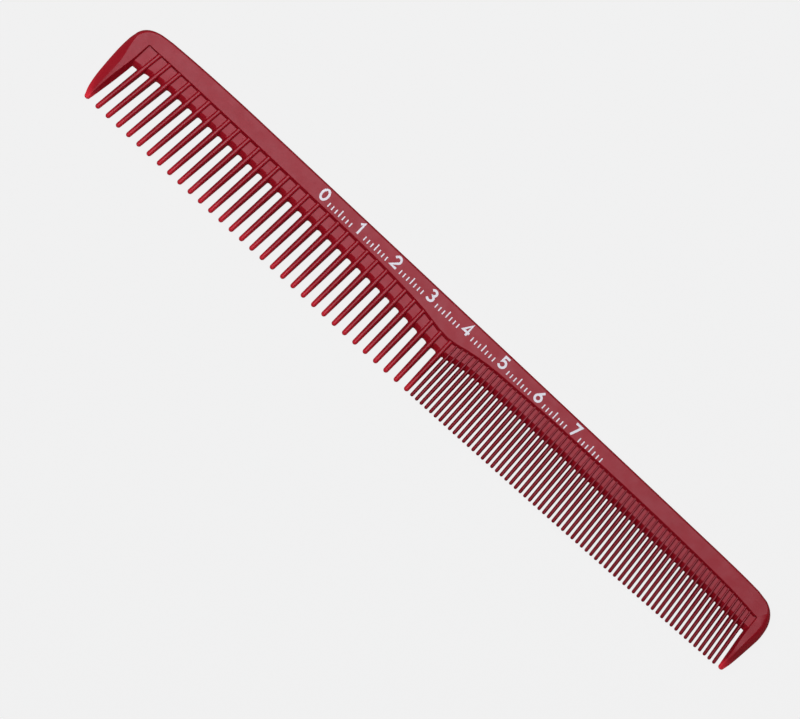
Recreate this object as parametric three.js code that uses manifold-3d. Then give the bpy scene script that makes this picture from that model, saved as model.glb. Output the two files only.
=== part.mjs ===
// A flat pocket styling comb with two tooth pitches: wide teeth on the -X half, fine teeth on the +X half.
// It lies flat. X runs along the comb, Y across it (back edge at +Y, tooth tips at -Y), and Z is its thickness.
// Every section is symmetric about the plane z = MID, and all lengths are in millimetres.
import * as THREE from "three";
import { mergeVertices } from "three/addons/utils/BufferGeometryUtils.js";
import Module from "manifold-3d";

const wasm = await Module();
wasm.setup();

// ---- Overall size ----
const THICKNESS = 4.0; // spine and end guards
const MID = THICKNESS / 2;
const BEVEL = 0.55; // rounding of the spine's long edges
const GAP = 0.02; // parting gap between neighbouring nodes

// ---- Teeth: every centre line runs through one far point, so the teeth fan out a little ----
const FAN_X = 2.0;
const FAN_Y = 610;
const COARSE = {
  count: 31,
  firstX: -83.7,
  pitch: 2.84,
  lineY: -8.3, // the line across the comb on which firstX and pitch are measured
  tipHalfWidth: 0.53,
  rootHalfWidth: 0.74,
  tipHalfThickness: 0.65,
  rootHalfThickness: 1.7,
  taperLength: 12,
};
const FINE = {
  count: 65,
  perBank: 5,
  firstX: 3.12,
  pitch: 1.2846,
  lineY: -5.84,
  tipHalfWidth: 0.315,
  rootHalfWidth: 0.4,
  tipHalfThickness: 0.5,
  rootHalfThickness: 1.5,
  taperLength: 9,
};

// ---- Tip line: y of the tooth tips, a shallow curve that shortens the teeth towards +X ----
const TIP_Y = -9.43;
const TIP_SLOPE = 0.02145;
const TIP_CURVE = 9.94e-5;

// ---- Web: the thinner strip that joins the teeth under the spine ----
const WEB_HALF_THICKNESS = 1.2;
const WEB_EDGE_HALF_THICKNESS = 0.35; // at the tops of the slots
const WEB_BEVEL_HEIGHT = 1.1;
const STATION_STEP = 2.0;

// ---- End guards: thick outer teeth, flat underneath as far as FLAT_TO_Y, then thinner to the tip ----
const FLAT_TO_Y = 0;
const GUARD_TAPER_POWER = 1.6;
const COARSE_GUARD = {
  rootY: 6.35,
  tipY: -10.54,
  tipHalfThickness: 0.7,
  outer: [[6.35, -88.36], [4.4, -88.74], [1.1, -88.9], [-3, -88.78], [-6.25, -88.52], [-9.0, -87.98], [-10, -87.55]],
  inner: [[6.35, -84.35], [1.9, -84.37], [-3.6, -85.08], [-9.0, -86.05], [-10, -86.25]],
};
const FINE_GUARD = {
  rootY: 6.15,
  tipY: -6.85,
  tipHalfThickness: 0.6,
  outer: [[6.15, 88.46], [3.55, 88.9], [0.3, 88.7], [-3, 88.38], [-5.4, 88.06], [-6.35, 87.8]],
  inner: [[6.15, 85.12], [1.9, 85.44], [-3, 86.12], [-5.4, 86.46], [-6.35, 86.6]],
};

// ---- Lines along the comb, each a smooth curve y(x) through a few points ----
// Lower edge of the spine: dips where the two pitches meet and rises over both halves.
const spineEdge = smooth([
  [-84.6, 6.35], [-60, 6.51], [-38, 6.5], [-22.7, 6.35], [-14.8, 6.0], [-6.8, 5.39], [-1.9, 4.6], [1.2, 4.43],
  [5.9, 5.45], [10.8, 6.13], [18.7, 6.51], [28.3, 6.82], [51, 7.12], [76, 6.82], [85.25, 6.15],
]);
// Tops of the open slots between the teeth.
const slotTop = smooth([
  [-84.6, 0.6], [-81, 1.45], [-76.5, 1.98], [-70, 2.27], [-60, 2.37], [-40, 2.37], [-24.4, 2.2], [-14.8, 1.82],
  [-8.4, 1.41], [-1.9, 0.76], [1.2, 0.62], [3.9, 0.98], [6.5, 1.65], [10.2, 1.98], [18.7, 2.4], [43.8, 2.68],
  [68, 2.76], [85.7, 2.2],
]);

// A smooth curve through points sorted by their first number, in either order: returns the second number.
function smooth(points) {
  const sorted = [...points].sort((p, q) => p[0] - q[0]);
  const last = sorted.length - 1;
  const slope = sorted.map((_, i) => {
    const before = sorted[Math.max(i - 1, 0)];
    const after = sorted[Math.min(i + 1, last)];
    return (after[1] - before[1]) / (after[0] - before[0]);
  });
  return (t) => {
    let i = 0;
    while (i < last - 1 && t > sorted[i + 1][0]) i += 1;
    const [t0, v0] = sorted[i];
    const [t1, v1] = sorted[i + 1];
    const span = t1 - t0;
    const u = THREE.MathUtils.clamp((t - t0) / span, 0, 1);
    const hermite = (1 + 2 * u) * (1 - u) ** 2 * v0 + u ** 2 * (3 - 2 * u) * v1;
    return hermite + span * u * (1 - u) * ((1 - u) * slope[i] - u * slope[i + 1]);
  };
}

function tipLine(x) {
  return TIP_Y + TIP_SLOPE * (x - FAN_X) + TIP_CURVE * (x - FAN_X) ** 2;
}

// Values from a to b inclusive, evenly spaced and at most step apart.
function stations(a, b, step) {
  const count = Math.ceil(Math.abs(b - a) / step);
  return Array.from({ length: count + 1 }, (_, i) => a + ((b - a) * i) / count);
}

// ---- Solids ----

// A closed geometry from rings of points that all have the same count; both end rings are convex and get caps.
// The faces point outwards whichever way round the rings run.
function loft(givenRings) {
  const rings = runsClockwise(givenRings) ? givenRings.map((ring) => [...ring].reverse()) : givenRings;
  const count = rings[0].length;
  const positions = rings.flat().flatMap((p) => [p.x, p.y, p.z]);
  const indices = [];
  for (let r = 0; r < rings.length - 1; r += 1) {
    for (let i = 0; i < count; i += 1) {
      const a = r * count + i;
      const b = r * count + ((i + 1) % count);
      indices.push(a, b, b + count, a, b + count, a + count);
    }
  }
  const end = (rings.length - 1) * count;
  for (let i = 1; i < count - 1; i += 1) {
    indices.push(0, i + 1, i);
    indices.push(end, end + i, end + i + 1);
  }
  const geometry = new THREE.BufferGeometry();
  geometry.setAttribute("position", new THREE.Float32BufferAttribute(positions, 3));
  geometry.setIndex(indices);
  return geometry;
}

// Whether the first ring runs clockwise when it is looked at against the direction of the loft.
function runsClockwise(rings) {
  const ring = rings[0];
  const area = new THREE.Vector3();
  for (let i = 0; i < ring.length; i += 1) {
    area.add(new THREE.Vector3().crossVectors(ring[i], ring[(i + 1) % ring.length]));
  }
  const along = new THREE.Vector3().subVectors(rings[1][0], ring[0]);
  return area.dot(along) < 0;
}

function toSolid(geometry) {
  const bare = geometry.clone();
  bare.deleteAttribute("normal");
  bare.deleteAttribute("uv");
  const merged = mergeVertices(bare, 1e-4);
  const mesh = new wasm.Mesh({
    numProp: 3,
    vertProperties: new Float32Array(merged.attributes.position.array),
    triVerts: new Uint32Array(merged.index.array),
  });
  return new wasm.Manifold(mesh);
}

function toGeometry(solid) {
  const mesh = solid.getMesh();
  const geometry = new THREE.BufferGeometry();
  geometry.setAttribute("position", new THREE.Float32BufferAttribute(mesh.vertProperties, 3));
  geometry.setIndex([...mesh.triVerts]);
  geometry.computeVertexNormals();
  return geometry;
}

// A cutting prism over an outline in the XY plane, taller than the comb is thick.
function cutter(points) {
  const outline = new THREE.Shape(points.map(([x, y]) => new THREE.Vector2(x, y)));
  const prism = new THREE.ExtrudeGeometry(outline, { depth: THICKNESS + 2, bevelEnabled: false });
  prism.translate(0, 0, -1);
  return toSolid(prism);
}

// ---- Stations shared by the spine and the web, so that their common edge matches exactly ----
const edgeStations = stations(COARSE_GUARD.inner[0][1], FINE_GUARD.inner[0][1], STATION_STEP);
const aboveSpineEdge = cutter([
  [edgeStations[0] - 2, spineEdge(edgeStations[0]) - GAP],
  ...edgeStations.map((x) => [x, spineEdge(x) - GAP]),
  [edgeStations.at(-1) + 2, spineEdge(edgeStations.at(-1)) - GAP],
  [edgeStations.at(-1) + 2, 20],
  [edgeStations[0] - 2, 20],
]);

// ---- Spine: the flat bar along the back, with its two rounded corners ----
function spine() {
  const outline = new THREE.Shape();
  const coarseInner = COARSE_GUARD.inner[0][1];
  const fineInner = FINE_GUARD.inner[0][1];
  outline.moveTo(-88.62, 5.2);
  outline.lineTo(coarseInner, 5.2);
  for (const x of edgeStations) outline.lineTo(x, spineEdge(x));
  outline.lineTo(fineInner, 5.0);
  outline.lineTo(88.75, 5.0);
  outline.bezierCurveTo(88.0, 8.5, 86.0, 10.05, 82.3, 10.27);
  outline.bezierCurveTo(79.4, 10.44, 75.4, 10.54, 66, 10.54);
  outline.lineTo(-56, 10.48);
  outline.bezierCurveTo(-66, 10.48, -76, 10.24, -82, 9.82);
  outline.bezierCurveTo(-86.6, 9.5, -88.3, 8.0, -88.62, 5.2);
  const blank = new THREE.ExtrudeGeometry(outline, {
    depth: THICKNESS - 2 * BEVEL,
    bevelThickness: BEVEL,
    bevelSize: BEVEL,
    bevelOffset: -BEVEL,
    bevelSegments: 2,
    curveSegments: 8,
  });
  blank.translate(0, 0, BEVEL);
  const belowJoints = cutter([
    [-95, 0],
    [95, 0],
    [95, FINE_GUARD.rootY],
    [fineInner - 0.01, FINE_GUARD.rootY],
    [fineInner - 0.01, 3],
    [coarseInner + 0.01, 3],
    [coarseInner + 0.01, COARSE_GUARD.rootY],
    [-95, COARSE_GUARD.rootY],
  ]);
  return toSolid(blank).subtract(belowJoints);
}

// ---- End guards ----

// Half thickness of a guard at y: that of the spine, then thinner below FLAT_TO_Y.
function guardHalfThickness(guard, y) {
  const drop = Math.max(0, (FLAT_TO_Y - y) / (FLAT_TO_Y - guard.tipY));
  return MID - (MID - guard.tipHalfThickness) * drop ** GUARD_TAPER_POWER;
}

// One section across a guard: a flat ridge with a wide bevel outside and a narrow one inside.
function guardRing(guard, y, outerX, innerX) {
  const width = innerX - outerX; // negative on the fine end, so the same ratios serve both ends
  const half = guardHalfThickness(guard, y);
  const fromRoot = THREE.MathUtils.clamp((guard.rootY - y) / 6, 0, 1);
  const outerBevel = THREE.MathUtils.lerp(BEVEL / Math.abs(width), 0.46, fromRoot) * width;
  const innerBevel = 0.17 * width;
  const outerDrop = THREE.MathUtils.lerp(BEVEL, 0.55 * half, fromRoot);
  const innerDrop = Math.min(0.55, 0.4 * half);
  const top = [
    [outerX, half - outerDrop],
    [outerX + outerBevel, half],
    [innerX - innerBevel, half],
    [innerX, half - innerDrop],
  ];
  const bottom = top.map(([x, z]) => [x, -z]).reverse();
  return [...top, ...bottom].map(([x, z]) => new THREE.Vector3(x, y, MID + z));
}

function guard(shape) {
  const outer = smooth(shape.outer);
  const inner = smooth(shape.inner);
  const lastY = shape.outer.at(-1)[0];
  const rings = stations(shape.rootY - GAP, lastY, 1.6).map((y) => guardRing(shape, y, outer(y), inner(y)));
  const centre = (outer(lastY) + inner(lastY)) / 2;
  const halfWidth = (inner(lastY) - outer(lastY)) / 2;
  for (const turn of [0.5, 0.85, 0.98]) {
    const y = THREE.MathUtils.lerp(lastY, shape.tipY, turn);
    const w = halfWidth * Math.sqrt(1 - turn ** 2);
    rings.push(guardRing(shape, y, centre - w, centre + w));
  }
  return toSolid(loft(rings));
}

// ---- Web ----

// One section across the web at x: a flat panel whose lower edge is bevelled on both faces.
function webRing(x, grow) {
  const half = WEB_HALF_THICKNESS + grow;
  const edge = WEB_EDGE_HALF_THICKNESS + grow;
  const top = spineEdge(x) - GAP + grow;
  const bottom = slotTop(x) - grow;
  const face = bottom + WEB_BEVEL_HEIGHT;
  const front = [[top, half], [face, half], [bottom, edge]];
  const back = front.map(([y, z]) => [y, -z]).reverse();
  return [...front, ...back].map(([y, z]) => new THREE.Vector3(x, y, MID + z));
}

const webBlank = toSolid(loft(edgeStationsWithEnds().map((x) => webRing(x, 0))));
const webGrown = toSolid(loft(edgeStationsWithEnds().map((x) => webRing(x, GAP))));

function edgeStationsWithEnds() {
  return [edgeStations[0] - 1, ...edgeStations, edgeStations.at(-1) + 1];
}

// The stretch of the web between two lines x(y).
function webBetween(left, right) {
  const heights = stations(0, 8, 1);
  const leftSide = heights.map((y) => [left(y) + GAP / 2, y]);
  const rightSide = heights.map((y) => [right(y) - GAP / 2, y]);
  return webBlank.intersect(cutter([...rightSide, ...leftSide.reverse()]));
}

// The line where the web stops, just clear of a guard's inner edge; side is +1 to its right and -1 to its left.
function besideGuard(shape, side) {
  const inner = smooth(shape.inner);
  return (y) => inner(y) + side * 2 * GAP;
}

// ---- Teeth ----

// Unit vector towards the tip, and the tip point, of the tooth that crosses the line y = kind.lineY at x.
function toothAxis(kind, x) {
  const towardsTip = new THREE.Vector2(x - FAN_X, kind.lineY - FAN_Y).normalize();
  const reach = (tipLine(x) - kind.lineY) / towardsTip.y;
  const tip = new THREE.Vector2(x, kind.lineY).addScaledVector(towardsTip, reach);
  return { tip, towardsTip };
}

// The section is an octagon with narrow ridges front and back, s millimetres from the tip.
function toothRing(kind, { tip, towardsTip }, s, scale) {
  const taper = THREE.MathUtils.clamp(s / kind.taperLength, 0, 1);
  const a = THREE.MathUtils.lerp(kind.tipHalfWidth, kind.rootHalfWidth, taper) * scale;
  const b = THREE.MathUtils.lerp(kind.tipHalfThickness, kind.rootHalfThickness, taper) * scale;
  const section = [
    [a, -0.45 * b], [a, 0.45 * b], [0.35 * a, b], [-0.35 * a, b],
    [-a, 0.45 * b], [-a, -0.45 * b], [-0.35 * a, -b], [0.35 * a, -b],
  ];
  const across = new THREE.Vector2(-towardsTip.y, towardsTip.x);
  return section.map(([u, z]) => {
    const point = tip.clone().addScaledVector(towardsTip, -s).addScaledVector(across, u);
    return new THREE.Vector3(point.x, point.y, MID + z);
  });
}

function tooth(kind, x) {
  const axis = toothAxis(kind, x);
  const length = spineEdge(x) + 1 - axis.tip.y;
  const rings = [[0, 0.5], [0.45, 1], [kind.taperLength, 1], [length, 1]];
  return toSolid(loft(rings.map(([s, scale]) => toothRing(kind, axis, s, scale)))).subtract(aboveSpineEdge);
}

// A wide tooth straddles the web: its root is notched to fit over the strip.
function coarseTooth(index) {
  return tooth(COARSE, COARSE.firstX + index * COARSE.pitch).subtract(webGrown);
}

// The line between two fine teeth, x(y), on the same fan as the teeth; index 0 is left of the first tooth.
function fineDivide(index) {
  const x = FINE.firstX + (index - 0.5) * FINE.pitch;
  return (y) => FAN_X + ((x - FAN_X) * (FAN_Y - y)) / (FAN_Y - FINE.lineY);
}

// A bank of fine teeth with its own stretch of web.
function fineBank(index) {
  const first = index * FINE.perBank;
  const isLast = first + FINE.perBank === FINE.count;
  const right = isLast ? besideGuard(FINE_GUARD, -1) : fineDivide(first + FINE.perBank);
  let bank = webBetween(fineDivide(first), right);
  for (let i = first; i < first + FINE.perBank; i += 1) {
    bank = bank.add(tooth(FINE, FINE.firstX + i * FINE.pitch));
  }
  return bank;
}

// ---- Assembly ----
const redAcetal = { color: 0xa01428, roughness: 0.38, metalness: 0 };
const comb = new THREE.Group();

function addNode(name, solid) {
  const mesh = new THREE.Mesh(toGeometry(solid), new THREE.MeshStandardMaterial(redAcetal));
  mesh.name = name;
  comb.add(mesh);
}

function numbered(name, index) {
  return `${name}_${String(index + 1).padStart(2, "0")}`;
}

addNode("spine", spine());
addNode("coarse_end_guard", guard(COARSE_GUARD));
addNode("fine_end_guard", guard(FINE_GUARD));
addNode("coarse_web", webBetween(besideGuard(COARSE_GUARD, 1), fineDivide(0)));
for (let i = 0; i < COARSE.count; i += 1) addNode(numbered("coarse_tooth", i), coarseTooth(i));
for (let i = 0; i < FINE.count / FINE.perBank; i += 1) addNode(numbered("fine_teeth_bank", i), fineBank(i));

export default comb;
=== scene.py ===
"""A red styling comb with two tooth pitches, moulded in one piece, built finely around its CAD frame.

Lengths are millimetres until add_piece() turns them into metres. X runs along the comb with the wide
teeth at -X, Y runs across it with the tips at -Y, and Z is its thickness. Every section of the moulding
is the same above and below the plane z = MID.
"""
import math
from typing import NamedTuple

import bmesh
import bpy
import numpy as np
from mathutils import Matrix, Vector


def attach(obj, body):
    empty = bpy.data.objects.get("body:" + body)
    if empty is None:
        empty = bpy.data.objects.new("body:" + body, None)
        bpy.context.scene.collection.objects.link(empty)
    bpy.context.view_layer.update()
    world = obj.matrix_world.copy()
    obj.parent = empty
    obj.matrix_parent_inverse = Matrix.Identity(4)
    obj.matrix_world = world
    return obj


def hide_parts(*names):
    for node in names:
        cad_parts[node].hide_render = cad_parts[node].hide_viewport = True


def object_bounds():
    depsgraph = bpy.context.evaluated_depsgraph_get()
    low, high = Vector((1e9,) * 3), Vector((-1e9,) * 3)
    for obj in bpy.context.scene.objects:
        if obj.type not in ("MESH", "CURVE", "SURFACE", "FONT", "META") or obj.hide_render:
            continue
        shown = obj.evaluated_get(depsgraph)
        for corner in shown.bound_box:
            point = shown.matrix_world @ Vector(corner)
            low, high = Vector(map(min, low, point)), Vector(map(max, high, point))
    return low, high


MM = 0.001

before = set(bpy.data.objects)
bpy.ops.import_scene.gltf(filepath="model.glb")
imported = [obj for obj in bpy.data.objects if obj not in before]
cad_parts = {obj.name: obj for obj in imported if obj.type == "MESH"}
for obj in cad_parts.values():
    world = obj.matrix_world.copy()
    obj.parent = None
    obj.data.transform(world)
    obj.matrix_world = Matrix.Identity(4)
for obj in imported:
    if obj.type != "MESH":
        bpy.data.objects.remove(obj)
cad_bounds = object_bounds()

LOW, HIGH = (np.array(corner) / MM for corner in cad_bounds)
MID = (LOW[2] + HIGH[2]) / 2
HALF = (HIGH[2] - LOW[2]) / 2

BODY_SLOT = "red_acetal_body"
TEETH_SLOT = "red_acetal_teeth"
INK_SLOT = "white_print"

# ---- Mesh detail ----
CURVE_STEP = 0.3  # longest straight step along a refined curve
SPINE_STEP = 2.5
GUARD_STEP = 0.45
CORNER_STATIONS = 26
GUARD_TIP_STATIONS = 8
BEVEL_STEPS = 8
WALL_CREST_STEPS = 4
TOOTH_STATIONS = 12
TOOTH_TIP_STATIONS = 7
TOOTH_SIDE_STEPS = 3
TOOTH_CREST_STEPS = 6
CHAMFER_STEPS = 5
SLOT_CORNER_STEPS = 6
SHARP_ANGLE = 24  # degrees between faces that makes a crisp edge

# ---- Spine and end guards ----
BACK_RUN, BACK_DROP = 0.38, 1.5  # rounding of the long back edge, seen in plan and from the end
BACK_SQUARENESS = 1.6  # of that rounding: 1 is a flat bevel and 2 is a quarter of an ellipse
GUARD_SQUARENESS = (1.12, 1.5)  # of a guard's outer bevel, at GUARD_LOW_Y and at the guard's root
GUARD_LOW_Y = 2.0
INNER_CORNER = 0.35  # fillet between the spine and each end guard, seen in plan
CORNER_REACH = 30.0  # how much of the back edge a corner's curve is drawn through
WALL_CREST_ROUND = 0.1  # rounding along the top of the inner wall
WALL_CREST_SHARE = 0.3  # most of the wall's slope that the rounding may take
GUARD_WALL_SHARE = 0.85  # share of a guard's half thickness that its inner wall falls
GUARD_TIP_SHARE = 0.12  # share of its width that a guard keeps at the end of its tip
GUARD_TIP_POWER = 0.6  # a guard's thickness follows its width to this power round its tip
WALL_OVERLAP = 0.1  # how far the wall under the spine goes down into the strip between the teeth
# How far the wall under the spine slopes out, seen in plan, as (x, distance) pairs.
WALL_RUN = [(-84, 0.25), (-78, 0.4), (-68, 0.55), (-50, 0.65), (60, 0.7), (80, 0.55)]

# ---- Strip between the teeth ----
WEB_HALF = 1.2  # half thickness
WEB_LIP_HALF = 0.35  # of the CAD frame's strip, at the tops of the slots
WEB_EDGE_HALF = 0.15  # of this strip, at the same place
WEB_CHAMFER = 1.25  # height of the chamfer above the slots
WEB_OVERLAP = 1.2  # how far the strip reaches into each end guard
SLOT_INSET = 0.93  # share of a tooth's half width where the slot's rounded corner begins
UNDERLAP = 0.3  # how far the strip and the teeth reach inside the spine

# ---- Teeth ----
PAINTED_GLOW_REACH = 4.0  # painted glow, for light shining through the thin tip and its highlight, fades over this much of a tooth from its tip
TIP_FIRST_TURN = 0.12  # radians round the tip where its first ring is, which leaves a small flat
TIP_POWER = 0.8  # a tooth's thickness follows its width to this power round its tip
WAIST_ROUND = 0.3  # rounding of the teeth's sides
WAIST_SHARE = 0.4  # most of a tooth's half width that it may take
CREST_SHARES = (0.95, 0.7)  # most of the half width and half thickness that the crest may take
TOOTH_CORNER = 0.7  # reach of the fillet where a tooth meets the spine
ROOT_SPREAD = 0.7  # how much broader the crest of a tooth becomes there
SPINE_ABOVE_SLOT = 4.0  # roughly how far the spine's lower edge lies above the tops of the slots


# ---- Reading the CAD frame ----
LOWER_EDGE_TOP = 7.6  # between the end guards, the spine's lower edge is below this y and its back above
FACE_MARGIN = 0.5  # the spine's vertices farther than this from both faces are on its walls
END_MARGIN = 0.1  # the lower edge may reach this far past the guards' inner edges
SAME_PLACE = 0.02  # coordinates closer than this are the same
CLOSE_POINTS = 0.05  # points of a path closer than this become one
TIP_BAND = 0.1  # height that holds only the lowest ring of one tooth
BANK_TIP_BAND = 0.3  # height that holds the lowest rings of a whole bank of teeth
BANK_TIP_GAP = 0.5  # the tips of a bank are farther apart than this
ROOT_BAND = 0.6  # height that holds only the highest ring of a wide tooth


def points(node):
    """The node's vertices, one row each."""
    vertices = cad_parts[node].data.vertices
    return np.array([vertex.co for vertex in vertices]) / MM


def numbered(stem):
    """The names of the frame's nodes that start with stem, in order along the comb."""
    return sorted(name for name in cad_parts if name.startswith(stem))


def table(pairs, at):
    """The second number of the pairs, read straight between them, where the first is at."""
    return np.interp(at, *zip(*pairs))


def lengths(path):
    """Distance along the path at each of its points."""
    return np.concatenate([[0], np.cumsum(np.linalg.norm(np.diff(path, axis=0), axis=1))])


def refine(path):
    """A smooth curve through the points of path, in short straight steps."""
    path = np.asarray(path, float)
    keep = np.concatenate([[True], np.linalg.norm(np.diff(path, axis=0), axis=1) > CLOSE_POINTS])
    path = path[keep]
    at = lengths(path)
    slope = np.gradient(path, at, axis=0)
    fine = []
    for i in range(len(path) - 1):
        span = at[i + 1] - at[i]
        u = np.linspace(0, 1, max(2, math.ceil(span / CURVE_STEP) + 1))[:-1, None]
        hermite = (1 + 2 * u) * (1 - u) ** 2 * path[i] + u ** 2 * (3 - 2 * u) * path[i + 1]
        fine.append(hermite + span * u * (1 - u) * ((1 - u) * slope[i] - u * slope[i + 1]))
    return np.vstack([*fine, path[-1:]])


def guard_lines(node, side):
    """Outer and inner edge x and half thickness of an end guard, by y from its tip; side is -1 or 1."""
    vertices = points(node)
    rows = []
    for y in np.unique(vertices[:, 1].round(2)):
        ring = vertices[abs(vertices[:, 1] - y) < SAME_PLACE]
        ends = sorted(ring[:, 0] * side)
        rows.append((y, ends[-1] * side, ends[0] * side, abs(ring[:, 2] - MID).max()))
    return np.array(rows)


def spine_lines(inner_left, inner_right):
    """The spine's outline as two lines: its back edge with both corners, and its lower edge."""
    vertices = points("spine")
    wall = vertices[abs(vertices[:, 2] - MID) < HALF - FACE_MARGIN]
    between = (wall[:, 0] > inner_left - END_MARGIN) & (wall[:, 0] < inner_right + END_MARGIN)
    lower = (wall[:, 1] < LOWER_EDGE_TOP) & between
    return tidy_line(wall[~lower]), tidy_line(wall[lower])


def tidy_line(vertices):
    """The vertices as points in the plane, sorted by x, each place once."""
    line = np.unique(vertices[:, :2].round(3), axis=0)
    keep = np.concatenate([[True], np.diff(line[:, 0]) > SAME_PLACE])
    return line[keep]


left_guard = guard_lines("coarse_end_guard", -1)
right_guard = guard_lines("fine_end_guard", 1)
INNER_LEFT = left_guard[-1, 2]
INNER_RIGHT = right_guard[-1, 2]
back_line, lower_line = spine_lines(INNER_LEFT, INNER_RIGHT)
back_curve = refine(back_line)


def back_y(x):
    """y of the spine's back edge."""
    return np.interp(x, back_curve[:, 0], back_curve[:, 1])


def spine_edge(x):
    """y of the spine's lower edge."""
    return np.interp(x, lower_line[:, 0], lower_line[:, 1])


def slot_line():
    """The tops of the open slots, x and y, read from the lower lip of the strip between the teeth."""
    strips = np.vstack([points(name) for name in ["coarse_web", *numbered("fine_teeth_bank")]])
    is_lip = (abs(abs(strips[:, 2] - MID) - WEB_LIP_HALF) < SAME_PLACE) & (strips[:, 1] > 0)
    return tidy_line(strips[is_lip])


lip_line = slot_line()


def slot_top(x):
    """y of the top of an open slot."""
    return np.interp(x, lip_line[:, 0], lip_line[:, 1])


def tip_of(vertices):
    """The middle of the lowest ring of a tooth."""
    return vertices[vertices[:, 1] < vertices[:, 1].min() + TIP_BAND].mean(axis=0)


def bank_tips(node):
    """The tips of the teeth of one bank, from -X to +X."""
    vertices = points(node)
    ends = vertices[vertices[:, 1] < vertices[:, 1].min() + BANK_TIP_BAND]
    ends = ends[ends[:, 0].argsort()]
    breaks = np.flatnonzero(np.diff(ends[:, 0]) > BANK_TIP_GAP) + 1
    return [group.mean(axis=0) for group in np.split(ends, breaks)]


coarse_tips = {name: tip_of(points(name)) for name in numbered("coarse_tooth")}
fine_tips = {name: bank_tips(name) for name in numbered("fine_teeth_bank")}


def lean_line():
    """Slope and offset of dx/dy of the teeth against x, from the two ends of each wide tooth."""
    tip_x, lean = [], []
    for name, tip in coarse_tips.items():
        vertices = points(name)
        top = vertices[vertices[:, 1] > vertices[:, 1].max() - ROOT_BAND]
        middle = (top[:, 0].min() + top[:, 0].max()) / 2
        tip_x.append(tip[0])
        lean.append((middle - tip[0]) / (top[:, 1].mean() - tip[1]))
    return np.polyfit(tip_x, lean, 1)


LEAN = lean_line()


# ---- Mesh helpers ----

def add_piece(name, vertices, faces, material, slot, nodes=(), thin=None):
    """A closed mesh piece, smooth where its faces bend gently, that rides with the comb.

    thin is how much glow is painted into the colour at a vertex, for light shining through thin moulding:
    up to 1 where it is thinnest, and 0 elsewhere.
    """
    mesh = bpy.data.meshes.new(name)
    mesh.from_pydata((np.asarray(vertices) * MM).tolist(), [], faces)
    if thin is not None:
        attribute = mesh.attributes.new("thin", "FLOAT", "POINT")
        attribute.data.foreach_set("value", np.asarray(thin, np.float32))
    shaped = bmesh.new()
    shaped.from_mesh(mesh)
    bmesh.ops.remove_doubles(shaped, verts=shaped.verts, dist=1e-3 * MM)
    bmesh.ops.dissolve_degenerate(shaped, edges=shaped.edges, dist=1e-3 * MM)
    bmesh.ops.recalc_face_normals(shaped, faces=shaped.faces)
    for face in shaped.faces:
        face.smooth = True
    for edge in shaped.edges:
        edge.smooth = edge.calc_face_angle(math.pi) < math.radians(SHARP_ANGLE)
    shaped.to_mesh(mesh)
    shaped.free()
    mesh.materials.append(material)
    piece = bpy.data.objects.new(name, mesh)
    bpy.context.scene.collection.objects.link(piece)
    weighted = piece.modifiers.new("weighted_normals", "WEIGHTED_NORMAL")
    weighted.keep_sharp = True
    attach(piece, "root")
    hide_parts(*nodes)


def loft(rings):
    """Vertices and faces of a closed skin over rings that all have the same number of points."""
    count = len(rings[0])
    vertices = np.vstack(rings)
    faces = []
    for r in range(len(rings) - 1):
        for i in range(count):
            a = r * count + i
            b = r * count + (i + 1) % count
            faces.append((a, b, b + count, a + count))
    last = len(vertices) - count
    faces.append(tuple(reversed(range(count))))
    faces.append(tuple(range(last, last + count)))
    return vertices, faces


# ---- Spine and end guards: one C-shaped bar, cut into three pieces ----

def bevel_profile(run, drop, squareness):
    """Points (inwards, downwards from the flat) from the outer wall up to the flat face."""
    turn = np.linspace(0, math.pi / 2, BEVEL_STEPS)
    power = 2 / squareness
    return np.column_stack([run * (1 - np.cos(turn) ** power), drop * (1 - np.sin(turn) ** power)])


def wall_profile(run, drop):
    """Points (inwards, downwards) of the inner wall: rounded along its crest, then straight down."""
    turn = np.linspace(0, 1, WALL_CREST_STEPS)[:, None]
    rounding = min(WALL_CREST_ROUND, WALL_CREST_SHARE * run)
    start = np.array([run + rounding, 0])
    crest = np.array([run, 0])
    foot = np.array([0, drop])
    end = crest + (foot - crest) * rounding / np.linalg.norm(foot - crest)
    curve = (1 - turn) ** 2 * start + 2 * turn * (1 - turn) * crest + turn ** 2 * end
    return np.vstack([curve, foot])


def bar_ring(outer, inner, half, sizes):
    """One section of the bar between two points in the plane.

    sizes are the run, drop and squareness of the outer bevel, and the run and drop of the inner wall.
    """
    across = (inner - outer) / np.linalg.norm(inner - outer)
    face = [(outer + across * run, half - drop) for run, drop in bevel_profile(*sizes[:3])]
    face += [(inner - across * run, half - drop) for run, drop in wall_profile(*sizes[3:])]
    top = [(*place, MID + z) for place, z in face]
    bottom = [(*place, MID - z) for place, z in reversed(face)]
    return np.array(top + bottom)


def spine_sizes(x):
    """The sizes of the spine's section, for bar_ring()."""
    return BACK_RUN, BACK_DROP, BACK_SQUARENESS, table(WALL_RUN, x), HALF - WEB_HALF + WALL_OVERLAP


def spine_ring(x):
    """One section of the spine, from its back edge to the foot of the wall under it."""
    foot = spine_edge(x) - table(WALL_RUN, x)
    return bar_ring(np.array([x, back_y(x)]), np.array([x, foot]), HALF, spine_sizes(x))


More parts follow.
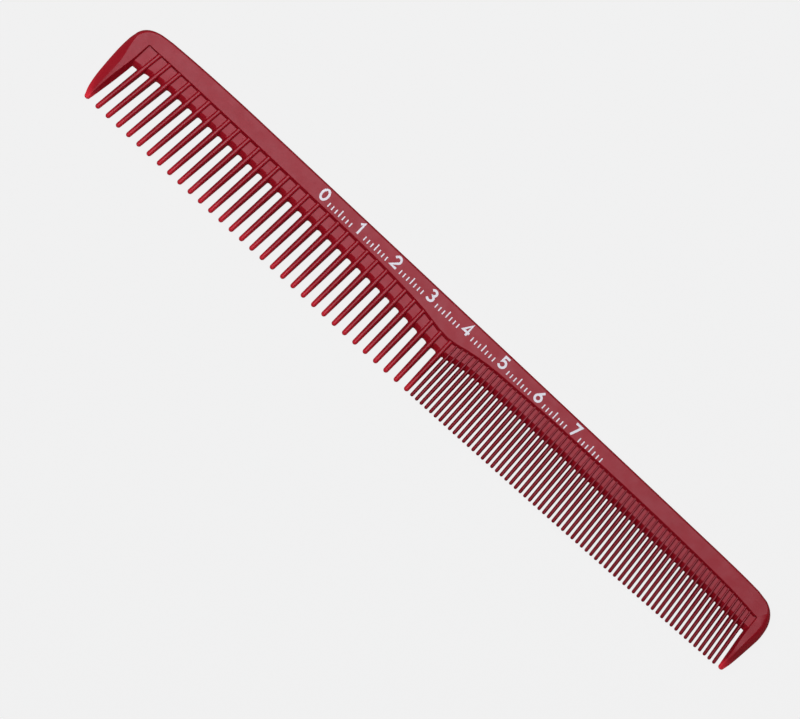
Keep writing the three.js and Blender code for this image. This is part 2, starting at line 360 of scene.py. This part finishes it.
class End:
    """One end guard and its corner. side is -1 for the wide-tooth end and 1 for the fine-tooth end.

    Each list has (y, number) pairs: the outer bevel's share of the width and of the half thickness, the
    inner wall's share of the width, and how much glow is painted into the colour at the outer edge and
    along the ridge, for light shining through where the guard is thin.
    """

    def __init__(
            self, side, lines, tip_round, outer_share, outer_drop, inner_share, thin_edge, thin_ridge):
        self.side = side
        self.inner_x = lines[-1, 2]
        self.tip_y = lines[0, 0]
        self.root_y = lines[-1, 0]
        body = lines[lines[:, 0] > self.tip_y + tip_round - CLOSE_POINTS]
        self.outer = refine(body[:, [1, 0]])
        self.inner = refine(body[:, [2, 0]])
        self.half = body[:, [0, 3]]
        self.tip_round = tip_round
        self.outer_share = outer_share
        self.outer_drop = outer_drop
        self.inner_share = inner_share
        self.thin_edge = thin_edge
        self.thin_ridge = thin_ridge

    def edges(self, y):
        """x of the outer and of the inner edge."""
        return [np.interp(y, line[:, 1], line[:, 0]) for line in (self.outer, self.inner)]

    def sizes(self, y, width, half):
        """The sizes of a section, for bar_ring()."""
        squareness = np.interp(y, [GUARD_LOW_Y, self.root_y], GUARD_SQUARENESS)
        bevel_run = table(self.outer_share, y) * width
        bevel_drop = table(self.outer_drop, y) * half
        wall_run = table(self.inner_share, y) * width
        return bevel_run, bevel_drop, squareness, wall_run, GUARD_WALL_SHARE * half

    def ring(self, y, narrow=1.0):
        """The guard's section at y, narrowed about its middle near the tip."""
        outer_x, inner_x = self.edges(y)
        half = table(self.half, y) * narrow ** GUARD_TIP_POWER
        width = abs(inner_x - outer_x) * narrow
        middle = (inner_x + outer_x) / 2
        outer = np.array([middle + (outer_x - middle) * narrow, y])
        inner = np.array([middle + (inner_x - middle) * narrow, y])
        return bar_ring(outer, inner, half, self.sizes(y, width, half))

    def guard(self):
        """Rings from the rounded tip up to the start of the corner."""
        start = self.tip_y + self.tip_round
        root = self.root_y - INNER_CORNER
        rings = []
        for turn in np.linspace(0, math.pi / 2, GUARD_TIP_STATIONS)[1:-1]:
            y = start - self.tip_round * math.cos(turn)
            rings.append(self.ring(y, max(GUARD_TIP_SHARE, math.sin(turn))))
        count = math.ceil((root - start) / GUARD_STEP)
        return rings + [self.ring(y) for y in np.linspace(start, root, count + 1)]

    def corner(self):
        """Rings round the corner, from the guard to the spine."""
        root = self.root_y - INNER_CORNER
        stop_x = self.inner_x - self.side * INNER_CORNER
        path = self.corner_path(root, stop_x)
        at = lengths(path)
        outer_x, inner_x = self.edges(root)
        first = self.sizes(root, abs(inner_x - outer_x), HALF)
        last = spine_sizes(stop_x)
        centre = np.array([stop_x, root])
        foot_drop = table(WALL_RUN, stop_x)
        rings = []
        for share in np.linspace(0, 1, CORNER_STATIONS):
            outer = np.array([np.interp(share * at[-1], at, path[:, k]) for k in range(2)])
            turn = share * math.pi / 2
            fillet = np.array([self.side * math.cos(turn), math.sin(turn)]) * INNER_CORNER
            ease = share * share * (3 - 2 * share)
            sizes = [a + (b - a) * ease for a, b in zip(first, last)]
            inner = centre + fillet - np.array([0, foot_drop * ease])
            rings.append(bar_ring(outer, inner, HALF, sizes))
        return rings

    def corner_path(self, root, stop_x):
        """The outer edge round the corner."""
        near_end = back_line[:, 0] * self.side > stop_x * self.side - CORNER_REACH
        line = back_line[near_end][::-self.side]
        path = refine(np.vstack([self.outer[self.outer[:, 1] < self.root_y - 0.1], line]))
        above = path[:, 1] > root
        beyond = path[:, 0] * self.side > stop_x * self.side
        start = [self.edges(root)[0], root]
        end = [stop_x, back_y(stop_x)]
        return np.vstack([start, path[above & beyond], end])

    def thinness(self, rings):
        """Painted glow at each vertex of the rings, from the outer edge to the ridge, for light through
        thin plastic.
        """
        thin = []
        for ring in rings:
            y = ring[0][1]
            edge, ridge = table(self.thin_edge, y), table(self.thin_ridge, y)
            face = [ridge + (edge - ridge) * share for share in np.linspace(1, 0, BEVEL_STEPS)]
            face += [ridge] * (len(ring) // 2 - BEVEL_STEPS)
            thin += face + face[::-1]
        return thin


COARSE_END = End(
    -1, left_guard,
    tip_round=0.54,
    outer_share=[(-10, 0.6), (-8, 0.6), (-4, 0.56), (0, 0.49), (4, 0.3), (6.4, 0.16)],
    outer_drop=[(-10, 0.7), (-0.3, 0.75), (4.4, 0.6), (6.4, 0.6)],
    inner_share=[(-10, 0.3), (-8, 0.31), (-4, 0.29), (0, 0.22), (4.4, 0.14), (6.4, 0.1)],
    # painted glow for light through the thin outer edge and the tip
    thin_edge=[(-10, 1), (-6, 0.3), (-2, 0.15), (5.5, 0)],
    thin_ridge=[(-10, 1), (-8, 0)],
)
FINE_END = End(
    1, right_guard,
    tip_round=0.5,
    outer_share=[(-6.5, 0.6), (-3, 0.56), (0, 0.5), (4.4, 0.44), (6.4, 0.4)],
    outer_drop=[(-6.5, 0.7), (0, 0.75), (4.4, 0.65), (6.4, 0.6)],
    inner_share=[(-6.5, 0.3), (-3, 0.24), (0, 0.16), (4.4, 0.12), (6.4, 0.12)],
    # painted glow for light through the thin outer edge and the tip
    thin_edge=[(-6.5, 1), (-4.5, 0.3), (-2.5, 0)],
    thin_ridge=[(-6.5, 1), (-4, 0)],
)


def make_bar(material):
    """The spine and the two end guards, which meet face to face."""
    left_corner = COARSE_END.corner()
    right_corner = FINE_END.corner()
    first = COARSE_END.inner_x + INNER_CORNER
    last = FINE_END.inner_x - INNER_CORNER
    count = math.ceil((last - first) / SPINE_STEP)
    straight = [spine_ring(x) for x in np.linspace(first, last, count + 1)[1:-1]]
    spine = [*left_corner, *straight, *right_corner[::-1]]
    add_piece("spine_bar", *loft(spine), material, BODY_SLOT, ["spine"])
    ends = [("coarse", COARSE_END, left_corner), ("fine", FINE_END, right_corner)]
    for pitch, end, corner in ends:
        rings = [*end.guard()[:-1], corner[0]]
        node = f"{pitch}_end_guard"
        add_piece(f"{pitch}_guard", *loft(rings), material, BODY_SLOT, [node], end.thinness(rings))


# ---- Teeth ----

class Kind(NamedTuple):
    """The sizes that one pitch of teeth shares. A pair of numbers is at the tip and at the root."""

    width: tuple
    thickness: tuple
    crest: tuple  # radius of the rounded crest
    taper: float  # distance from the tip over which the pairs change
    slot_round: float  # radius of the upper corners of the slots
    crown_drop: float  # how far the crest dips where the tooth meets the spine
    chamfer_bend: float  # 0 for an even chamfer above the slots, and 1 for one that grows ever steeper
    glow: float  # how strongly glow is painted into the colour of the tips, for light through them and their highlights

    def at(self, along):
        """Half width, half thickness and crest radius at this distance from the tip."""
        share = min(max(along / self.taper, 0), 1)
        pairs = ((0.5 * self.width[0], 0.5 * self.width[1]),
                 (0.5 * self.thickness[0], 0.5 * self.thickness[1]), self.crest)
        return [a + (b - a) * share for a, b in pairs]


COARSE = Kind(
    width=(1.11, 1.52), thickness=(1.3, 3.5), crest=(0.45, 0.5), taper=12,
    slot_round=0.4, crown_drop=0.12, chamfer_bend=0.5, glow=0.55,
)
FINE = Kind(
    width=(0.74, 0.9), thickness=(1.0, 3.1), crest=(0.3, 0.24), taper=9,
    slot_round=0.2, crown_drop=0.1, chamfer_bend=0.1, glow=0.0,
)


def axis_x(tip, y):
    """x of the tooth's centre line at height y."""
    return tip[0] + np.polyval(LEAN, tip[0]) * (y - tip[1])


def tooth_section(half_width, half_thickness, crest):
    """A diamond with rounded crests front and back and small rounded sides."""
    waist = min(WAIST_ROUND, half_width * WAIST_SHARE)
    crest = min(crest, half_width * CREST_SHARES[0], half_thickness * CREST_SHARES[1])
    waist_x, crest_z = half_width - waist, half_thickness - crest
    span = math.hypot(waist_x, crest_z)
    turn = math.atan2(crest_z, -waist_x) - math.acos(np.clip((waist - crest) / span, -1, 1))
    low = np.linspace(0, turn, TOOTH_SIDE_STEPS)
    high = np.linspace(turn, math.pi / 2, TOOTH_CREST_STEPS)
    across = np.concatenate([waist_x + waist * np.cos(low), crest * np.cos(high)])
    up = np.concatenate([waist * np.sin(low), crest_z + crest * np.sin(high)])
    across = np.concatenate([across, -across[-2::-1]])
    up = np.concatenate([up, up[-2::-1]])
    return np.concatenate([across, across[-2:0:-1]]), np.concatenate([up, -up[-2:0:-1]])


def tooth_stations(tip_radius, length):
    """Distances from the tip of a tooth's rings: round the tip, along the body and up the fillet."""
    turns = np.linspace(TIP_FIRST_TURN, math.pi / 2, TOOTH_TIP_STATIONS)
    stations = [tip_radius * (1 - math.cos(turn)) for turn in turns]
    stations += list(np.linspace(tip_radius, length - TOOTH_CORNER, TOOTH_STATIONS)[1:])
    stations += [length - TOOTH_CORNER * (1 - share) for share in (0.25, 0.5, 0.75, 0.9, 1)]
    return [*stations, length + UNDERLAP]


def make_tooth(name, kind, tip, material, nodes=()):
    """One tooth, from its tip to a little inside the spine."""
    lean = np.polyval(LEAN, tip[0])
    towards_root = np.array([lean, 1]) / math.hypot(lean, 1)
    across = np.array([towards_root[1], -towards_root[0]])
    wall_y = spine_edge(axis_x(tip, slot_top(tip[0]) + SPINE_ABOVE_SLOT))
    length = (wall_y - tip[1]) / towards_root[1]
    tip_radius = kind.width[0] / 2
    rings, thin = [], []
    for along in tooth_stations(tip_radius, length):
        half_width, half_thickness, crest = kind.at(along)
        rounding = math.sqrt(1 - (1 - min(along / tip_radius, 1)) ** 2)
        near = np.clip(1 - (length - along) / TOOTH_CORNER, 0, 1)
        flare = 0.5 * TOOTH_CORNER * (1 - math.sqrt(1 - near ** 2))
        crown = kind.crown_drop * near ** 2
        sideways, up = tooth_section(
            half_width * rounding + flare,
            half_thickness * rounding ** TIP_POWER - crown,
            crest * rounding * (1 + ROOT_SPREAD * near ** 2),
        )
        place = tip[:2] + towards_root * along + np.outer(sideways, across)
        rings.append(np.column_stack([place, MID + up]))
        # painted glow, for light through the thin tip, fading away from the tip
        thin += [max(0, 1 - along / PAINTED_GLOW_REACH) * kind.glow] * len(up)
    add_piece(name, *loft(rings), material, TEETH_SLOT, nodes, thin)


def make_teeth(wide_material, fine_material):
    """All the wide teeth and then all the fine ones, from -X to +X."""
    for name, tip in coarse_tips.items():
        make_tooth("wide_" + name.removeprefix("coarse_"), COARSE, tip, wide_material, [name])
    every_fine_tip = [tip for tips in fine_tips.values() for tip in tips]
    for i, tip in enumerate(every_fine_tip):
        make_tooth(f"fine_tooth_{i + 1:02d}", FINE, tip, fine_material)


# ---- Web ----

def web_ring(x, lip, bend):
    """One section of the strip, with its lower edge at y = lip; bend is its Kind's chamfer_bend."""
    top = spine_edge(x) + UNDERLAP
    face = slot_top(x) + WEB_CHAMFER
    front = [(top, WEB_HALF)]
    for share in np.linspace(0, 1, CHAMFER_STEPS):
        fall = (1 - bend) * share + bend * share ** 2
        front.append((face + (lip - face) * share, WEB_HALF + (WEB_EDGE_HALF - WEB_HALF) * fall))
    back = [(y, -z) for y, z in reversed(front)]
    return np.array([(x, y, MID + z) for y, z in front + back])


def slot_corners(tip, kind):
    """x and y along the strip's lower edge, rounded on both sides of a tooth."""
    x = axis_x(tip, slot_top(tip[0]))
    reach = kind.at(slot_top(x) - tip[1])[0] * SLOT_INSET
    radius = kind.slot_round
    arc_x = radius * (1 - np.cos(np.linspace(0, math.pi / 2, SLOT_CORNER_STEPS)))
    fall = radius - np.sqrt(np.maximum(radius ** 2 - (radius - arc_x) ** 2, 0))
    before = [(x - reach - dx, slot_top(x - reach - dx) - dy) for dx, dy in zip(arc_x[::-1], fall[::-1])]
    after = [(x + reach + dx, slot_top(x + reach + dx) - dy) for dx, dy in zip(arc_x, fall)]
    return before + after


def make_web(name, kind, tips, left, right, material, nodes):
    """The strip from left to right behind the teeth with the given tips."""
    lower_edge = [(left, slot_top(left))]
    for tip in tips:
        lower_edge += [(x, lip) for x, lip in slot_corners(tip, kind) if left < x < right]
    lower_edge.append((right, slot_top(right)))
    rings = [web_ring(x, lip, kind.chamfer_bend) for x, lip in lower_edge]
    add_piece(name, *loft(rings), material, BODY_SLOT, nodes)


def make_webs(material):
    """One strip behind the wide teeth, and a short one behind each bank of fine teeth."""
    height = slot_top(0)
    centres = [axis_x(tip, height) for tips in fine_tips.values() for tip in tips]
    pitch = (centres[-1] - centres[0]) / (len(centres) - 1)
    joints = [axis_x(tips[0], height) - pitch / 2 for tips in fine_tips.values()]
    joints.append(INNER_RIGHT + WEB_OVERLAP)
    wide = coarse_tips.values()
    make_web("wide_web", COARSE, wide, INNER_LEFT - WEB_OVERLAP, joints[0], material, ["coarse_web"])
    for i, (node, tips) in enumerate(fine_tips.items()):
        make_web(f"fine_web_{i + 1:02d}", FINE, tips, joints[i], joints[i + 1], material, [node])


# ---- Printed scale: generic numerals and ticks on the spine ----
INK_HEIGHT = 0.02
INK_RISE = 0.008  # along a stroke, so that its end lies on top where it crosses its start
NUMERAL = 2.75  # height
NUMERAL_LIFT = 0.1  # of the numerals above the foot of the ticks
NUMERAL_MIDDLE = 0.3  # of a numeral's width, as a share of its height
STROKE = 0.5
SCALE_FIRST = -38.5
SCALE_STEP = 10.0
SCALE_COUNT = 8
SCALE_BASE = 7.1  # y of the foot of the ticks
TICK_STEP = 1.0
TICK_WIDTH = 0.26
TICK_HEIGHT, MIDDLE_TICK_HEIGHT = 1.0, 1.6
FIRST_TICK, MIDDLE_TICK, LAST_TICK = 2, 5, 8  # the others would touch the numerals
MITRE_LIMIT = 0.55  # least cosine of half a bend for which its mitre is drawn in full


def arc(cx, cy, rx, ry, start, end, steps):
    """Points on an ellipse round (cx, cy), from the start angle to the end angle in degrees."""
    turn = np.radians(np.linspace(start, end, steps))
    return [(cx + rx * math.cos(t), cy + ry * math.sin(t)) for t in turn]


def numeral_strokes():
    """The strokes of each numeral, 1 high and about 0.6 wide, as lists of points."""
    return {
        "0": [arc(0.3, 0.5, 0.28, 0.42, 90, 450, 28)],
        "1": [[(0.1, 0.72), (0.34, 0.92), (0.34, 0)]],
        "2": [[*arc(0.3, 0.66, 0.26, 0.26, 170, -35, 12), (0.04, 0.08), (0.6, 0.08)]],
        "3": [[*arc(0.28, 0.7, 0.24, 0.22, 150, -70, 12), *arc(0.28, 0.28, 0.27, 0.22, 80, -150, 12)]],
        "4": [[(0.62, 0.26), (0.02, 0.26), (0.44, 0.92), (0.44, 0)]],
        "5": [[(0.55, 0.92), (0.14, 0.92), (0.1, 0.52), *arc(0.28, 0.34, 0.28, 0.28, 110, -150, 14)]],
        "6": [[(0.5, 0.92), *arc(0.3, 0.32, 0.26, 0.26, 150, 490, 24)]],
        "7": [[(0.04, 0.92), (0.58, 0.92), (0.22, 0)]],
    }


def ribbon(path, width):
    """Rings of a flat stroke of ink along path, mitred at its bends."""
    path = np.array(path, float)
    steps = np.diff(path, axis=0)
    steps /= np.linalg.norm(steps, axis=1)[:, None]
    before = np.vstack([steps[:1], steps])
    after = np.vstack([steps, steps[-1:]])
    if np.linalg.norm(path[0] - path[-1]) < 1e-6:
        before[0], after[-1] = steps[-1], steps[0]
    bisector = before + after
    bisector /= np.linalg.norm(bisector, axis=1)[:, None]
    normal = np.column_stack([-bisector[:, 1], bisector[:, 0]])
    stretch = 1 / np.maximum((bisector * after).sum(axis=1), MITRE_LIMIT)
    side = normal * (width / 2 * stretch)[:, None]
    low = HIGH[2] - INK_HEIGHT
    rings = []
    for place, reach, rise in zip(path, side, np.linspace(0, INK_RISE, len(path))):
        left, right = place + reach, place - reach
        high = HIGH[2] + INK_HEIGHT + rise
        corners = [(*left, high), (*right, high), (*right, low), (*left, low)]
        rings.append(np.array(corners))
    return rings


def make_scale(material):
    """Numerals every ten millimetres with ticks between them, in one thin layer of ink."""
    shapes = []
    strokes = numeral_strokes()
    for i in range(SCALE_COUNT):
        left = SCALE_FIRST + i * SCALE_STEP
        foot = SCALE_BASE + NUMERAL_LIFT
        for stroke in strokes[str(i)]:
            shapes.append(ribbon([(left + x * NUMERAL, foot + y * NUMERAL) for x, y in stroke], STROKE))
        for k in range(FIRST_TICK, LAST_TICK + 1):
            x = left + NUMERAL_MIDDLE * NUMERAL + k * TICK_STEP
            tall = MIDDLE_TICK_HEIGHT if k == MIDDLE_TICK else TICK_HEIGHT
            shapes.append(ribbon([(x, SCALE_BASE), (x, SCALE_BASE + tall)], TICK_WIDTH))
    vertices, faces = [], []
    for rings in shapes:
        placed, sides = loft(rings)
        faces += [tuple(corner + len(vertices) for corner in face) for face in sides]
        vertices += placed.tolist()
    add_piece("printed_scale", vertices, faces, material, INK_SLOT)


# ---- Materials ----

class Nodes:
    """Short calls for building one material's node tree."""

    def __init__(self, name):
        self.material = bpy.data.materials.new(name)
        self.material.use_nodes = True
        self.tree = self.material.node_tree
        self.shader = self.tree.nodes["Principled BSDF"]
        self.place = self.add("ShaderNodeTexCoord").outputs["Object"]

    def add(self, kind, inputs=None, **settings):
        """A new node with these settings and inputs."""
        node = self.tree.nodes.new(kind)
        for key, value in settings.items():
            setattr(node, key, value)
        for key, value in (inputs or {}).items():
            self.put(node.inputs[key], value)
        return node

    def put(self, socket, value):
        """Link the value into the socket, or write it there if it's a constant."""
        if isinstance(value, bpy.types.NodeSocket):
            self.tree.links.new(value, socket)
        else:
            socket.default_value = value

    def surface(self, **values):
        """Put values into the shader, by socket name with _ for each space."""
        for key, value in values.items():
            self.put(self.shader.inputs[key.replace("_", " ")], value)

    def stretched(self, scale, turn):
        """Object coordinates, scaled along each axis and turned about Z."""
        inputs = {"Vector": self.place, "Scale": scale, "Rotation": (0, 0, turn)}
        return self.add("ShaderNodeMapping", inputs).outputs["Vector"]

    def noise(self, scale, detail, vector=None):
        """Noise between 0 and 1."""
        inputs = {"Vector": vector or self.place, "Scale": scale, "Detail": detail}
        return self.add("ShaderNodeTexNoise", inputs).outputs["Fac"]

    def ramp(self, value, low, high, to_low=0.0, to_high=1.0):
        """The value moved from the range low to high into the range to_low to to_high, and kept in it."""
        inputs = {"Value": value, "From Min": low, "From Max": high, "To Min": to_low, "To Max": to_high}
        return self.add("ShaderNodeMapRange", inputs, clamp=True).outputs["Result"]

    def math(self, operation, a, b=0.0):
        """The result of one operation on a and b."""
        return self.add("ShaderNodeMath", {0: a, 1: b}, operation=operation).outputs[0]

    def mix(self, share, a, b):
        """The colour between a and b."""
        node = self.add("ShaderNodeMix", data_type="RGBA")
        color_a, color_b = node.inputs[6], node.inputs[7]
        self.put(node.inputs["Factor"], share)
        self.put(color_a, a)
        self.put(color_b, b)
        return node.outputs[2]

    def bump(self, height, strength, depth, normal=None):
        """A normal that makes the height look depth millimetres deep, on top of the given normal."""
        inputs = {"Height": height, "Strength": strength, "Distance": depth * MM}
        if normal:
            inputs["Normal"] = normal
        return self.add("ShaderNodeBump", inputs).outputs["Normal"]


RED = (0.36, 0.004, 0.013, 1)
DEEP_RED = (0.325, 0.0035, 0.011, 1)
# painted shade: the fine teeth's colour is darkened towards this
PAINTED_SHADE_RED = (0.15, 0.003, 0.011, 1)
# paler edges: partly rubbed wear and partly a painted highlight along the rims
WEAR_AND_SHEEN_RED = (0.42, 0.02, 0.035, 1)
# painted glow: the colour that thin parts are turned to, for light shining through them and the
# highlights at their tips
PAINTED_GLOW_RED = (0.92, 0.03, 0.05, 1)
DUST = (0.75, 0.45, 0.45, 1)
INK = (0.9, 0.88, 0.87, 1)
THIN_INK = (0.8, 0.45, 0.47, 1)
GATE = (-70.9, 8.25)  # centre of the faint ring that the injection gate left
GATE_RADIUS = 1.5
GATE_EDGE = 0.18  # half width of the ring's line
RUB_TURN = 8  # degrees between the rubbing marks and the comb
ACETAL_IOR = 1.48
ACETAL_SPECULAR = 0.38


def dust_specks(nodes):
    """1 in a few small specks, and 0 elsewhere."""
    speck = nodes.add("ShaderNodeTexVoronoi", {"Vector": nodes.place, "Scale": 330.0})
    core = nodes.ramp(speck.outputs["Distance"], 0.02, 0.05, 1, 0)
    rare = nodes.ramp(nodes.noise(120, 1), 0.66, 0.7)
    return nodes.math("MULTIPLY", core, rare)


def gate_ring(nodes):
    """1 along the ring that the gate left, and 0 away from it."""
    centre = (GATE[0] * MM, GATE[1] * MM, HIGH[2] * MM)
    from_gate = nodes.add("ShaderNodeVectorMath", {0: nodes.place, 1: centre}, operation="DISTANCE")
    off_ring = nodes.math("SUBTRACT", from_gate.outputs["Value"], GATE_RADIUS * MM)
    return nodes.ramp(nodes.math("ABSOLUTE", off_ring), 0, GATE_EDGE * MM, 1, 0)


def red_acetal(name, roughness, depth=0.0):
    """Moulded acetal: cloudy colour, orange-peel skin, fine rubbing marks, paler edges that are partly
    rubbed wear and partly a painted highlight, and painted glow where it is thin.

    depth is how far the colour is darkened with painted shade, which makes the fine teeth darker than the
    rest.
    """
    nodes = Nodes(name)
    cloud = nodes.ramp(nodes.noise(90, 4), 0.3, 0.7)
    # painted shade: depth darkens the colour of the fine teeth
    color = nodes.mix(depth, nodes.mix(cloud, DEEP_RED, RED), PAINTED_SHADE_RED)
    # painted glow: the thin attribute brightens the colour where light would shine through thin plastic
    thin = nodes.add("ShaderNodeAttribute", attribute_name="thin").outputs["Fac"]
    color = nodes.mix(thin, color, PAINTED_GLOW_RED)
    # paler convex edges: partly rubbed wear and partly a painted highlight along the rims
    edge = nodes.ramp(nodes.add("ShaderNodeNewGeometry").outputs["Pointiness"], 0.52, 0.6, 0, 0.5)
    wear_and_sheen = nodes.math("MULTIPLY", edge, nodes.ramp(nodes.noise(700, 2), 0.35, 0.65))
    color = nodes.mix(wear_and_sheen, color, WEAR_AND_SHEEN_RED)
    color = nodes.mix(dust_specks(nodes), color, DUST)

    along_comb = nodes.stretched((260, 5200, 400), math.radians(RUB_TURN))
    rub_mark = nodes.ramp(nodes.noise(1.0, 2, along_comb), 0.66, 0.72)
    mottle = nodes.ramp(nodes.noise(420, 3), 0.3, 0.7, roughness - 0.05, roughness + 0.05)
    rubbed = nodes.math("ADD", mottle, nodes.math("MULTIPLY", rub_mark, 0.1))
    rough = nodes.math("ADD", rubbed, nodes.math("MULTIPLY", wear_and_sheen, 0.1))

    skin = nodes.bump(nodes.noise(2600, 2), 0.06, 0.02)
    marks = nodes.bump(rub_mark, 0.15, 0.004, skin)
    normal = nodes.bump(gate_ring(nodes), 0.35, 0.03, marks)
    nodes.surface(Base_Color=color, Roughness=rough, Normal=normal)
    nodes.surface(IOR=ACETAL_IOR, Specular_IOR_Level=ACETAL_SPECULAR)
    return nodes.material


def white_ink(name):
    """Matt pad-printed ink, slightly mottled where the red shows through it."""
    nodes = Nodes(name)
    thin = nodes.ramp(nodes.noise(1500, 3), 0.62, 0.8, 0, 0.35)
    rough = nodes.ramp(nodes.noise(900, 2), 0.3, 0.7, 0.55, 0.7)
    normal = nodes.bump(nodes.noise(3000, 2), 0.2, 0.01)
    nodes.surface(Base_Color=nodes.mix(thin, INK, THIN_INK), Roughness=rough, Normal=normal)
    return nodes.material


# ---- Camera, light and floor ----
CAMERA_TARGET = (-3.56, -5.466)
CAMERA_TURN = 43.2296  # degrees that the comb is turned in the picture
CAMERA_DISTANCE = 1000.0
FIELD_WIDTH = 163.36  # width of the picture at the comb's middle plane
LIGHT_COLOR = (0.98, 0.98, 1.1)
WORLD_GREY = 0.88
WORLD_STRENGTH = 0.06
FLOOR_GREY = 0.02
FLOOR_GLOW = 0.862
FLOOR_REACH = 4000.0  # from the comb to each side
FLOOR_GAP = 0.02  # below the comb


def make_camera():
    """A long lens straight above the comb."""
    data = bpy.data.cameras.new("camera")
    data.sensor_width = 36
    data.lens = data.sensor_width * CAMERA_DISTANCE / FIELD_WIDTH
    data.clip_start, data.clip_end = 0.01, 20
    camera = bpy.data.objects.new("camera", data)
    camera.location = (*(v * MM for v in CAMERA_TARGET), (MID + CAMERA_DISTANCE) * MM)
    camera.rotation_euler = (0, 0, math.radians(CAMERA_TURN))
    bpy.context.scene.collection.objects.link(camera)
    bpy.context.scene.camera = camera


def make_area_light(name, tilt_x, tilt_y, distance, size_x, size_y, radiance):
    """A soft box aimed at the comb's centre, in metres; tilts are degrees from overhead to +X and +Y."""
    data = bpy.data.lights.new(name, "AREA")
    data.shape = "RECTANGLE"
    data.size = size_x
    data.size_y = size_y
    data.energy = radiance * math.pi * size_x * size_y
    data.color = LIGHT_COLOR
    light = bpy.data.objects.new(name, data)
    from_comb = np.array([math.tan(math.radians(tilt_x)), math.tan(math.radians(tilt_y)), 1.0])
    from_comb *= distance / np.linalg.norm(from_comb)
    light.location = from_comb.tolist()
    light.rotation_mode = "QUATERNION"
    light.rotation_quaternion = light.location.to_track_quat("Z", "Y")
    light.visible_camera = False
    bpy.context.scene.collection.objects.link(light)


def make_world():
    """A dim, even grey all round."""
    world = bpy.data.worlds.new("studio")
    bpy.context.scene.world = world
    world.use_nodes = True
    background = world.node_tree.nodes["Background"]
    background.inputs["Color"].default_value = (WORLD_GREY, WORLD_GREY, WORLD_GREY, 1)
    background.inputs["Strength"].default_value = WORLD_STRENGTH


def make_floor():
    """A pale floor that glows evenly, takes no shadow and isn't mirrored in the comb."""
    nodes = Nodes("pale_floor")
    nodes.surface(Base_Color=(FLOOR_GREY, FLOOR_GREY, FLOOR_GREY, 1), Roughness=1.0)
    nodes.surface(Specular_IOR_Level=0.0, Emission_Color=(1, 1, 1, 1), Emission_Strength=FLOOR_GLOW)
    mesh = bpy.data.meshes.new("floor")
    square = np.array([(-1, -1, 0), (1, -1, 0), (1, 1, 0), (-1, 1, 0)]) * FLOOR_REACH
    corners = (square + [0, 0, LOW[2] - FLOOR_GAP]) * MM
    mesh.from_pydata(corners.tolist(), [], [(0, 1, 2, 3)])
    mesh.materials.append(nodes.material)
    floor = bpy.data.objects.new("floor", mesh)
    floor.visible_glossy = False
    bpy.context.scene.collection.objects.link(floor)


body_red = red_acetal("red_acetal_body", roughness=0.42)
teeth_red = red_acetal("red_acetal_teeth", roughness=0.30)
# the fine teeth's material gets painted shade
shaded_fine_red = red_acetal("red_acetal_fine_teeth_painted_shade", roughness=0.33, depth=0.45)
make_bar(body_red)
make_webs(body_red)
make_teeth(teeth_red, shaded_fine_red)
make_scale(white_ink("white_print"))
make_camera()
make_area_light("key", tilt_x=-18, tilt_y=12, distance=0.48, size_x=0.5, size_y=0.45, radiance=2.75)
make_area_light("overhead", tilt_x=10, tilt_y=-6, distance=1.2, size_x=0.35, size_y=0.35, radiance=5.0)
make_world()
make_floor()
bpy.context.scene.view_settings.view_transform = "Standard"
